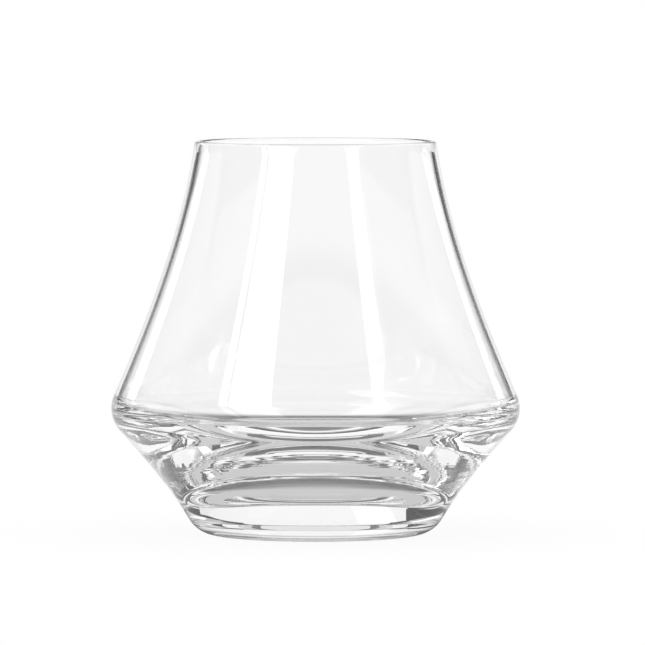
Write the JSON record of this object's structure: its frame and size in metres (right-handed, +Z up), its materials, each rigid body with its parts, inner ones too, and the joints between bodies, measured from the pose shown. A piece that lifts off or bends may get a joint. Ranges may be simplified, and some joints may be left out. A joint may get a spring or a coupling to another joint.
{
  "type": "cognac glass",
  "caption": "Stemless clear cognac glass: wide low belly drawn in to a narrow rounded rim, on a heavy tapered solid foot.",
  "frame": {"origin": "centre of the ring that the foot rests on", "axes": "+Z up along the axis that the glass is turned about, towards the rim; X and Y are level and alike"},
  "size_m": [0.0914, 0.0914, 0.088],
  "materials": {
    "clear_glass": "polished"
  },
  "bodies": {
    "root": {"bowl": "clear_glass", "foot": "clear_glass"}
  },
  "joints": []
}
